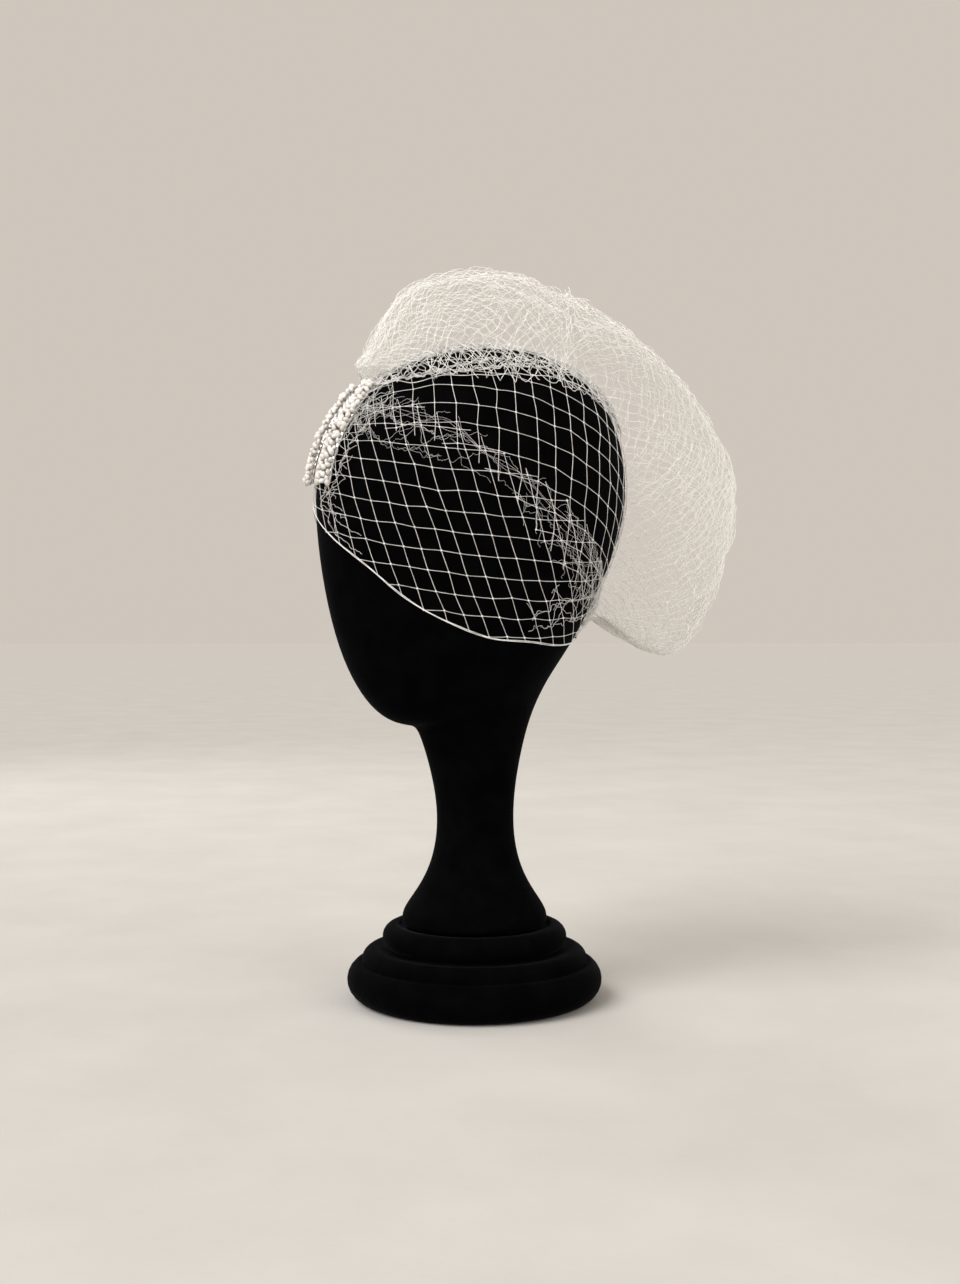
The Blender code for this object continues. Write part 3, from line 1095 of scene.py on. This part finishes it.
@dataclass(kw_only=True)
class CrumpledStrip(NetPiece):
    """A strip of net gathered up along a line on the head, until its meshes crumple.

    low and high are its two edges beside the line, keep the share of its threads that show, and
    crest the line of the strands that are drawn tight over it.
    """

    line: tuple[Place, ...]
    low: Numbers
    high: Numbers
    length: int
    width: int
    keep: Numbers
    layers: int = 1
    layer_shift: float = 40.0
    mesh_size: tuple[float, float] = (14.0, 9.0)
    pleats: int = 2
    pleat_reach: float = 0.25
    pleat_drift: tuple[float, float] = (2.0, 5.0)
    lift: float = 1.8
    least_lift: float = 1.0
    height: float = 2.4
    crumple: Wander = Wander(8.0, 2.4)
    wrinkle: Wander = Wander(8.0 / 2.3, 0.9)
    wrinkle_seed: float = 3.0
    crumple_rise: float = 0.5
    unevenness: float = 0.2
    cuts: int = 3
    crest: tuple[Place, ...] = ()
    crest_strands: int = 2
    crest_cuts: int = 90
    crest_spot: tuple[float, float] = (220.0, 31.0)
    crest_loose: Wander = Wander(17.0, 5.0)
    crest_lift: float = 1.0
    crest_rise: float = 0.2
    crest_seed: float = 6.0
    seed: int = 8
    shake_seed: int = 70
    stands_in: bool = False

    def crumpled(self, line: HeadLine, layer: int, along: float, across: float) -> Vector:
        """Find where a point of the strip lies when the strip is gathered.

        Args:
            line: The line that it is gathered along.
            layer: The strip's layer.
            along: The point's share of the length.
            across: Its share of the width.

        Returns:
            The point.
        """
        long, wide = self.mesh_size
        drift, pace = self.pleat_drift
        turn = math.tau * self.pleats * across + drift * math.sin(pace * along + layer)
        pleated = across + self.pleat_reach * math.sin(turn) / 2
        low, high = number_at(self.low, along), number_at(self.high, along)
        spot = Vector((along * self.length * long, across * self.width * wide, self.layer_shift * layer))
        shift = self.crumple.at(spot, float(self.seed))
        shift += self.wrinkle.at(spot, float(self.seed) + self.wrinkle_seed)
        mound = max(0.0, 1.0 - (2 * across - 1) ** 2)
        lift = self.lift + self.height * mound * (0.5 + 0.5 * math.cos(turn)) + shift.z * self.crumple_rise
        share = clamp(along + shift.y / (self.length * long))
        return line.at(share, low + (high - low) * pleated + shift.x, max(lift, self.least_lift))

    def wires(self, head: HeadForm) -> bpy.types.Mesh:
        """Crumple each layer of the net along the line, and lay the drawn strands of its crest.

        Args:
            head: The head.

        Returns:
            The middle lines of its threads, in metres.
        """
        line = HeadLine(head, self.line)
        wires = bmesh.new()
        for layer in range(self.layers):
            lattice = Lattice.tilted(self.length, self.width)
            lattice.thin(lambda along, across: number_at(self.keep, along), self.seed + layer)
            lattice.shake(self.unevenness, self.seed + self.shake_seed + layer)
            lattice.split_threads(self.cuts)
            for vert in lattice.bm.verts:
                vert.co = self.crumpled(line, layer, vert.co.x, vert.co.y)
            add_wires(wires, lattice.mesh(f"{self.name}_layer"))
        if self.crest:
            crest = HeadLine(head, self.crest)
            long, apart = self.crest_spot
            for strand in range(self.crest_strands):

                def place(share: float, strand: int = strand) -> Vector:
                    """Return the strand's point at a share of the crest."""
                    loose = self.crest_loose.at(Vector((share * long, apart * strand, 0.0)), self.crest_seed)
                    return crest.at(share, loose.x, self.lift + self.crest_lift + loose.y * self.crest_rise)

                add_strand(wires, self.crest_cuts, place)
        return mesh_from(wires, self.name)


@dataclass(kw_only=True)
class PoufLoop(NetPiece):
    """One loop of the sheer pouf: layers of fine net arched over the ridge.

    keep is the share of its threads that show along it, and foot_share the share of those that
    come down to its left foot, over foot_reach of the arch. bound_rims are the ends of the loop
    that a strand binds.
    """

    arches: tuple[Arch, ...]
    length: int
    width: int
    layers: int = 2
    keep: Numbers
    shape: float = 0.8
    flutes: int = 7
    flute_depth: float = 2.4
    flute_least: float = 0.35
    full_width: float = 130.0
    lift: float = 3.7
    least_lift: float = 1.2
    layer_gap: float = 1.2
    crumple: Wander = Wander(11.0, 2.2)
    crumple_seed: float = 4.0
    wrinkle: Wander = Wander(5.0, 1.1)
    drift: float = 0.6
    unevenness: float = 0.2
    cuts: int = 2
    thin_seed: int = 60
    shake_seed: int = 50
    foot_share: float = 0.3
    foot_reach: float = 0.14
    bound_rims: Numbers = (0.0,)
    rim_cuts: int = 80
    rim_spot: tuple[float, float] = (200.0, 20.0)
    rim_loose: Wander = Wander(12.0, 0.9)
    rim_seed: float = 9.0
    thread: Thread = Thread(0.155, 0.0, 3)
    rests_on: tuple[str, ...] = ("crown_net", "right_net")
    # the pouf's thread is painted paler, as painted light shining through it
    finish: ThreadFinish = SheerPaintedBrightFinish()

    def point(self, ridge: HeadLine, along: float, across: float) -> tuple[Vector, Vector]:
        """Find a point of the arched net.

        Args:
            ridge: The line under the pouf.
            along: The share along the loop.
            across: The share over its arch.

        Returns:
            The point, and the unit vector out of the arch there.
        """
        places = [Vector((arch.ridge_share, arch.crest_y, arch.crest_z)) for arch in self.arches]
        reaches = [Vector((arch.left_reach, arch.right_reach, 0.0)) for arch in self.arches]
        share, crest_y, crest_z = curve_at(places, along)
        left_reach, right_reach, _ = curve_at(reaches, along)
        left = ridge.at(share, left_reach, self.lift)
        right = ridge.at(share, -right_reach, self.lift)
        middle = (left + right) / 2
        crest = Vector((middle.x, crest_y, crest_z))
        turn = math.pi * across
        gather = 1 - (1 - self.flute_least) * math.sin(math.pi * along) ** 2
        depth = self.flute_depth * (left_reach + right_reach) / self.full_width
        flute = math.sin(math.tau * self.flutes * across) * math.sin(turn) * depth
        out = (crest - middle).normalized()
        rise = max(math.sin(turn), 0.0) ** self.shape
        arch = (left - middle) * math.cos(turn) + (crest - middle) * rise
        way = (arch.normalized() + out * math.sin(turn)).normalized()
        return middle + arch + out * flute * gather, way

    def kept(self, along: float, across: float) -> float:
        """Return the share of threads that stay at a place: fewer near the left foot."""
        near_foot = self.foot_share + (1.0 - self.foot_share) * across / self.foot_reach
        return min(number_at(self.keep, along), near_foot)

    def wires(self, head: HeadForm) -> bpy.types.Mesh:
        """Arch and crumple each layer of the net, and bind its rims.

        Args:
            head: The head.

        Returns:
            The middle lines of its threads, in metres.
        """
        ridge = HeadLine(head, RIDGE_LINE)
        wires = bmesh.new()
        for layer in range(self.layers):
            lattice = Lattice.tilted(self.length, self.width)
            lattice.thin(self.kept, self.thin_seed + layer)
            lattice.shake(self.unevenness, self.shake_seed + layer)
            lattice.split_threads(self.cuts)
            offset = (layer - (self.layers - 1) / 2) * self.layer_gap
            for vert in lattice.bm.verts:
                point, way = self.point(ridge, vert.co.x, vert.co.y)
                soft = self.crumple.at(point, self.crumple_seed + layer) + self.wrinkle.at(point, layer)
                vert.co = point + way * (offset + soft.x) + soft * self.drift
                floor = head.settle(vert.co, self.least_lift)
                if (vert.co - HEAD_CENTRE).length < (floor - HEAD_CENTRE).length:
                    vert.co = floor
            add_wires(wires, lattice.mesh(f"{self.name}_layer"))
        long, apart = self.rim_spot
        for along in self.bound_rims:

            def rim(share: float, along: float = along) -> Vector:
                """Return a point of the strand that binds one rim of the loop."""
                loose = self.rim_loose.at(Vector((share * long, apart * along, 0.0)), self.rim_seed)
                return self.point(ridge, along, share)[0] + loose

            add_strand(wires, self.rim_cuts, rim)
        return mesh_from(wires, self.name)


@dataclass
class StandFoot:
    """The stepped round foot under the neck, padded and covered in the same velvet.

    Each tier is its reach, its roundness, its middle's height, and its arc's ends in degrees.
    The seat is the radius and height of the flat top that the neck stands on.
    """

    tiers: tuple[Numbers, ...] = (
        (55.0, 7.6, 36.7, 105.0, -60.0),
        (67.3, 7.4, 23.0, 110.0, -10.0),
        (76.0, 11.7, 11.7, 66.0, -90.0),
    )
    seat: tuple[float, float] = (45.2, 42.3)
    arc_steps: int = 10
    turn_steps: int = 96
    weld: float = 0.02
    finish: VelvetFinish = VelvetFinish(sheen=0.035)

    def profile(self) -> list[Vector]:
        """Draw the foot's half profile, down its outer side to the floor.

        Returns:
            The profile's points.
        """
        radius, height = self.seat
        points = [Vector((0.0, 0.0, height)), Vector((radius, 0.0, height))]
        for reach, round_radius, centre, start, end in self.tiers:
            for step in range(self.arc_steps + 1):
                turn = math.radians(start + (end - start) * step / self.arc_steps)
                across = reach - round_radius + round_radius * math.cos(turn)
                points.append(Vector((across, 0.0, centre + round_radius * math.sin(turn))))
        return points + [Vector()]

    def build(self) -> None:
        """Turn the profile into the foot."""
        bm = bmesh.new()
        verts = [bm.verts.new(point * MM) for point in self.profile()]
        for first, second in zip(verts, verts[1:]):
            bm.edges.new((first, second))
        bmesh.ops.spin(
            bm,
            geom=bm.verts[:] + bm.edges[:],
            axis=UP,
            cent=Vector(),
            angle=math.tau,
            steps=self.turn_steps,
            use_merge=True,
        )
        bmesh.ops.remove_doubles(bm, verts=bm.verts, dist=self.weld * MM)
        bmesh.ops.recalc_face_normals(bm, faces=bm.faces)
        velvet = self.finish.material("black_velvet_foot")
        foot = add_piece("velvet_foot", mesh_from(bm, "velvet_foot"), velvet)
        stand_for("stand_base")


@dataclass(frozen=True)
class BarStrip:
    """A strip of the comb's plate: its sides beside the middle line, their lifts, and its ends."""

    near: float
    far: float
    near_lift: float
    far_lift: float
    start: float
    end: float


@dataclass(frozen=True)
class PearlRow:
    """A row of pearls: its middle beside the comb's line, and how they are heaped on it."""

    name: str
    node: str
    offset: float
    spread: float
    abreast: int
    lift: float
    heap: float


@dataclass
class PearlComb:
    """The silver comb above the forehead: two bars joined by rungs, and two rows of pearls."""

    strips: tuple[BarStrip, ...] = (
        BarStrip(12.6, 2.4, 2.2, 2.2, 0.0, 1.0),
        BarStrip(-5.6, -9.4, 3.9, 3.9, 0.0, 1.0),
        BarStrip(2.4, -5.6, 2.2, 3.9, 0.03, 0.06),
        BarStrip(2.4, -5.6, 2.2, 3.9, 0.48, 0.51),
        BarStrip(2.4, -5.6, 2.2, 3.9, 0.93, 0.96),
    )
    rows: tuple[PearlRow, ...] = (
        PearlRow("inner_pearls", "pearls_inner", 7.2, 2.4, 5, 2.6, 2.1),
        PearlRow("outer_pearls", "pearls_outer", -7.5, 1.5, 3, 4.5, 1.9),
    )
    bar_steps: int = 40
    bar_width_steps: int = 4
    bar_wall: float = 1.0
    pitch: float = 3.0
    pearl_radius: float = 1.55
    pearl_shape: Triple = (1.0, 0.85, 1.3)
    size_spread: float = 0.35
    size_pace: float = 1.9
    jitter: float = 1.2
    jitter_share: float = 0.02
    jitter_turn: float = 6.0
    seed_steps: Triple = (3.7, 5.1, 9.3)
    measure_steps: int = 20
    pearl_finish: PearlFinish = PearlFinish()
    wire_finish: WireFinish = WireFinish()

    def build_bar(self, line: HeadLine) -> bpy.types.Object:
        """Build the bar as a thin plate of strips, on the net over the head.

        Args:
            line: The comb's middle line.

        Returns:
            The bar.
        """
        bm = bmesh.new()
        for strip in self.strips:
            span = strip.end - strip.start
            steps = max(2, int(self.bar_steps * span))
            made = bmesh.ops.create_grid(bm, x_segments=steps, y_segments=self.bar_width_steps, size=0.5)
            for vert in made["verts"]:
                along, across = strip.start + span * (vert.co.x + 0.5), vert.co.y + 0.5
                lift = strip.near_lift + (strip.far_lift - strip.near_lift) * across
                vert.co = line.at(along, strip.near + (strip.far - strip.near) * across, lift) * MM
        bmesh.ops.recalc_face_normals(bm, faces=bm.faces)
        bm.normal_update()
        middle = HEAD_CENTRE * MM
        if sum(face.normal.dot(face.calc_center_median() - middle) for face in bm.faces) < 0:
            bmesh.ops.reverse_faces(bm, faces=bm.faces)
        silver = self.wire_finish.material("silver_comb")
        bar = add_piece("silver_comb_bar", mesh_from(bm, "silver_comb_bar"), silver)
        wall = bar.modifiers.new("wall", "SOLIDIFY")
        wall.thickness = self.bar_wall * MM
        wall.offset = 1.0
        stand_for("comb_bar")
        return bar

    def add_pearl(self, bm: bmesh.types.BMesh, centre: Vector, seed: Vector, loose: Vector) -> None:
        """Add one uneven pearl.

        Args:
            bm: The row's bmesh.
            centre: The pearl's middle.
            seed: Where its size is read from the noise.
            loose: The shift that also turns it.
        """
        radius = self.pearl_radius * (1.0 + self.size_spread * noise.noise(seed * self.size_pace))
        sides = Vector([radius * side for side in self.pearl_shape]) * MM
        turn = Matrix.Rotation(self.jitter_turn * loose.x, 3, loose.normalized())
        made = bmesh.ops.create_icosphere(bm, subdivisions=2, radius=1.0)["verts"]
        bmesh.ops.scale(bm, vec=sides, verts=made)
        bmesh.ops.rotate(bm, cent=Vector(), matrix=turn, verts=made)
        bmesh.ops.translate(bm, vec=centre * MM, verts=made)

    def build_row(self, line: HeadLine, index: int, pearl: bpy.types.Material) -> bpy.types.Object:
        """Heap one row of pearls along the bar.

        Args:
            line: The comb's middle line.
            index: Which of the rows.
            pearl: The pearls' material.

        Returns:
            The row, as one joined mesh.
        """
        row = self.rows[index]
        bm = bmesh.new()
        shares = [step / self.measure_steps for step in range(self.measure_steps + 1)]
        marks = [line.head.at(line.direction(share), 0) for share in shares]
        count = int(sum((one - other).length for one, other in zip(marks, marks[1:])) / self.pitch)
        for step in range(count + 1):
            for place in range(row.abreast):
                seed = Vector([part * pace for part, pace in zip((step, place, index), self.seed_steps)])
                loose = noise.noise_vector(seed)
                share = (step + 0.5 * (place % 2)) / (count + 0.5) + self.jitter_share * loose.x
                aside = row.offset + (place - (row.abreast - 1) / 2) * row.spread + self.jitter * loose.y
                mound = math.sin(math.pi * (place + 0.5) / row.abreast)
                rise = row.lift + self.pearl_radius + row.heap * mound + self.jitter * loose.z
                self.add_pearl(bm, line.at(clamp(share), aside, rise), seed, loose)
        piece = add_piece(row.name, mesh_from(bm, row.name), pearl)
        stand_for(row.node)
        return piece

    def build(self, head: HeadForm) -> list[bpy.types.Object]:
        """Build the bar and both rows.

        Args:
            head: The head.

        Returns:
            The three pieces.
        """
        line = HeadLine(head, COMB_LINE)
        bar = self.build_bar(line)
        pearl = self.pearl_finish.material("ivory_pearl")
        return [bar, *(self.build_row(line, index, pearl) for index in range(len(self.rows)))]


@dataclass(frozen=True)
class SoftLight:
    """A square light that faces the veil: its side and place in metres, and its power in watts.

    The place is given towards the camera, to the picture's right, and up.
    """

    name: str
    size: float
    power: float
    place: Triple

    def build(self, camera: PhotoCamera, target: Vector) -> None:
        """Hang the light.

        Args:
            camera: The camera that its place is measured from.
            target: What it faces, in metres.
        """
        back, right, up = self.place
        data = bpy.data.lights.new(self.name, "AREA")
        data.size = self.size
        data.energy = self.power
        light = link(bpy.data.objects.new(self.name, data))
        light.location = camera.back() * back + camera.right() * right + UP * up
        light.rotation_euler = (target - light.location).to_track_quat("-Z", "Y").to_euler()


@dataclass
class Studio:
    """A plain pale floor under soft light, all in metres."""

    floor_size: float = 400.0
    floor_cells: int = 8
    finish: StoneFinish = StoneFinish()
    sky: Triple = (0.62, 0.568, 0.505)
    sky_strength: float = 1.0
    sun_strength: float = 3.0
    sun_spread: float = 40.0
    sun_way: Triple = (0.8, -0.9, 1.0)
    target: Triple = (0.0, 0.0, 0.3)
    lights: tuple[SoftLight, ...] = (
        SoftLight("fill", 1.4, 17.0, (1.2, 1.4, 0.6)),
        SoftLight("rim", 0.8, 7.0, (-1.2, -0.9, 1.2)),
    )

    def add_sun(self, camera: PhotoCamera) -> None:
        """Add a soft even light from far away.

        Args:
            camera: The camera that its way is measured from.
        """
        data = bpy.data.lights.new("daylight", "SUN")
        data.energy = self.sun_strength
        data.angle = math.radians(self.sun_spread)
        light = link(bpy.data.objects.new("daylight", data))
        back, right, up = self.sun_way
        way = camera.back() * back + camera.right() * right + UP * up
        light.rotation_euler = way.to_track_quat("Z", "Y").to_euler()

    def build(self, camera: PhotoCamera) -> None:
        """Lay the floor and hang the lights.

        Args:
            camera: The camera that the lights are placed from.
        """
        bm = bmesh.new()
        cells = self.floor_cells
        bmesh.ops.create_grid(bm, x_segments=cells, y_segments=cells, size=self.floor_size / 2)
        floor = link(bpy.data.objects.new("floor", mesh_from(bm, "floor")))
        floor.data.materials.append(self.finish.material("pale_ground"))
        world = bpy.data.worlds.new("pale_room")
        bpy.context.scene.world = world
        world.use_nodes = True
        background = world.node_tree.nodes["Background"]
        background.inputs["Color"].default_value = (*self.sky, 1.0)
        background.inputs["Strength"].default_value = self.sky_strength
        bpy.context.scene.view_settings.view_transform = "Standard"
        self.add_sun(camera)
        for light in self.lights:
            light.build(camera, Vector(self.target))


LEFT_CORD = EdgeCord("left_edge_cord", "veil_left", LEFT_EDGE)
RIGHT_CORD = EdgeCord("right_edge_cord", "veil_right", RIGHT_EDGE)
NET_ON_LEFT = DrapedNet(
    name="left_net",
    node="veil_left",
    flat=(0.19, 0.06),
    area=0.0040,
    covers=("veil_left", "veil_fold"),
    origin=Place(56.6, -13.0),
    headings=(-7.0, -72.0),
)
NET_ON_CROWN = DrapedNet(
    name="crown_net",
    node="veil_crown",
    flat=(0.20, 0.08),
    area=0.0054,
    covers=("veil_crown", "veil_fold"),
    origin=Place(85.0, 35.0),
    headings=(-12.0, -91.0),
    cell=(11.6, 12.4),
    drape=Wander(9.0, 2.2),
    seed=7.0,
)
NET_ON_RIGHT = DrapedNet(
    name="right_net",
    node="veil_right",
    flat=(0.25, 0.12),
    area=0.0096,
    covers=("veil_right",),
    patch=line_of((-16.0, 2.5), (0.0, 52.0)),
    origin=Place(-80.0, 5.0),
    headings=(185.0, 248.0),
    steps=20,
    seed=13.0,
)
FOLD = CrumpledStrip(
    name="gathered_fold",
    node="veil_fold",
    flat=(0.25, 0.02),
    area=0.0017,
    rests_on=("left_net", "crown_net"),
    stands_in=True,
    line=FOLD_LINE,
    low=(10.0, 16.0, 22.0, 20.0, 15.0, 13.0, 14.0, 15.0, 13.0, 9.0, 6.0),
    high=(-6.0, -8.0, -8.0, -7.0, -7.0, -9.0, -12.0, -14.0, -12.0, -8.0, -6.0),
    length=40,
    width=10,
    keep=(0.5, 0.45, 0.3, 0.15, 0.08, 0.07, 0.18, 0.4, 0.5, 0.55, 0.6),
    layers=2,
    crest=CREST_LINE,
    crest_strands=3,
    thread=Thread(0.06, 0.0, 4),
)
FOLD_ON_RIGHT = replace(
    FOLD,
    name="right_fold",
    node="veil_right",
    rests_on=("right_net",),
    stands_in=False,
    line=mirrored(FOLD_LINE),
    low=tuple(-width for width in FOLD.low),
    high=tuple(-width for width in FOLD.high),
    crest=mirrored(CREST_LINE),
    seed=71,
)
NAPE_GATHER = CrumpledStrip(
    name="nape_gather",
    node="veil_fold",
    flat=(0.10, 0.02),
    area=0.0011,
    rests_on=("left_net", "right_net"),
    line=NAPE_LINE,
    low=(5.0, 8.0, 13.0, 14.0, 12.0, 10.0, 8.0),
    high=(-9.0, -11.0, -12.0, -12.0, -9.0, -9.0, -8.0),
    length=20,
    width=7,
    keep=(0.08, 0.2, 0.45, 0.8, 0.9, 1.0, 1.0),
    seed=55,
)
COMB_GATHER = CrumpledStrip(
    name="comb_gather",
    node="veil_left",
    flat=(0.10, 0.02),
    area=0.0007,
    rests_on=("left_net",),
    line=line_of((22.0, -19.0), (10.0, -9.0), (3.0, 0.0)) + COMB_LINE,
    low=(-2.0, -1.0, 1.0, 9.0, 9.0, 9.0, 9.0, 9.0),
    high=(9.0, 11.0, 14.0, 22.0, 25.0, 30.0, 34.0, 30.0),
    length=18,
    width=5,
    keep=(0.3, 0.5, 0.7, 0.6, 0.6, 0.7, 0.9, 0.9),
    seed=21,
)
CROWN_GATHER = CrumpledStrip(
    name="crown_gather",
    node="pouf_front",
    flat=(0.28, 0.06),
    area=0.0098,
    rests_on=("crown_net",),
    line=RIM_LINE,
    low=(0.0,) * 10,
    high=(-18.0, -28.0, -40.0, -46.0, -46.0, -42.0, -34.0, -26.0, -20.0, -14.0),
    length=30,
    width=8,
    keep=(0.95, 0.95, 0.9, 0.85, 0.8, 0.8, 0.75, 0.7, 0.65, 0.6),
    layers=2,
    lift=2.2,
    crest=RIM_LINE,
    crest_strands=1,
    thread=Thread(0.21, 0.0, 5),
    seed=34,
)
FRONT_LOOP = PoufLoop(
    name="front_loop",
    node="pouf_front",
    flat=(0.25, 0.11),
    area=0.0125,
    arches=FRONT_ARCHES,
    length=19,
    width=27,
    keep=(1.0,) * 7 + (0.25,),
    thread=Thread(0.12, 0.0, 3),
)
BACK_LOOP = PoufLoop(
    name="back_loop",
    node="pouf_back",
    flat=(0.40, 0.12),
    area=0.032,
    arches=BACK_ARCHES,
    length=38,
    width=25,
    keep=(0.25,) + (1.0,) * 11,
    bound_rims=(1.0,),
)


def main() -> None:
    """Build every piece and report it."""
    noise.seed_set(NOISE_SEED)
    camera = PhotoCamera()
    camera.build()
    Studio().build(camera)
    StandFoot().build()
    head = HeadForm()
    head.build()
    log.info("stand")
    cords = {cord.slot: (cord.build(head),) for cord in (LEFT_CORD, RIGHT_CORD)}
    for net in (NET_ON_LEFT, NET_ON_CROWN, NET_ON_RIGHT):
        net.build(head, cords.get(net.node, ()))
    for strip in (FOLD, FOLD_ON_RIGHT, NAPE_GATHER, COMB_GATHER, CROWN_GATHER):
        strip.build(head)
    for loop in (FRONT_LOOP, BACK_LOOP):
        loop.build(head)
    for piece in PearlComb().build(head):
        log.info("%s: %d faces", piece.name, len(piece.data.polygons))


if __name__ == "__main__":
    main()
